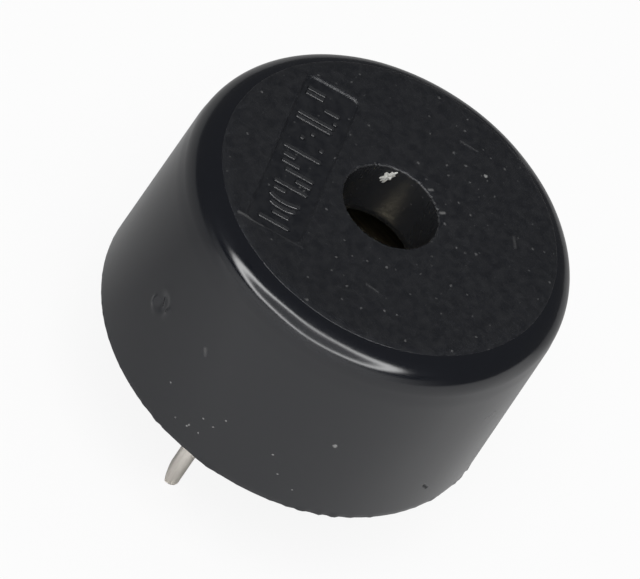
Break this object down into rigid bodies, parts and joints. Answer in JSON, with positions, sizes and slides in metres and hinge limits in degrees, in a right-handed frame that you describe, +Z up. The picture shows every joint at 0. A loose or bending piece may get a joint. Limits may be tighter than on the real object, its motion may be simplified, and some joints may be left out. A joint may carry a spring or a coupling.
{
  "type": "piezo buzzer",
  "caption": "Round piezo buzzer in a black moulded case with a sound port in its top and solder pins underneath, for a circuit board.",
  "frame": {"origin": "centre of the seating plane, which is the underside of the base plate and of the case's rim", "axes": "+Z up through the sound port, +Y from pin a to pin b"},
  "size_m": [0.0138, 0.0138, 0.0122],
  "materials": {
    "case_plastic": "satin",
    "base_plastic": "matt",
    "sealing_resin": "cured epoxy",
    "tinned_pin": "tinned",
    "diaphragm_brass": "rolled sheet",
    "piezoceramic": "fired ceramic",
    "fired_silver": "matt silver",
    "silicone": "clear silicone",
    "solder": "bright solder",
    "wire_enamel": "enamelled copper"
  },
  "bodies": {
    "root": {"case": "case_plastic", "diaphragm_plate": "diaphragm_brass", "ceramic_disc": "piezoceramic", "silver_electrode": "fired_silver", "diaphragm_adhesive": "silicone", "base_plate": "base_plastic", "base_seal": "sealing_resin", "pin_a": "tinned_pin", "pin_b": "tinned_pin", "lead_wire_a": "wire_enamel", "lead_wire_b": "wire_enamel", "solder_pin_a": "solder", "solder_pin_b": "solder", "solder_electrode": "solder", "solder_plate": "solder"}
  },
  "joints": []
}
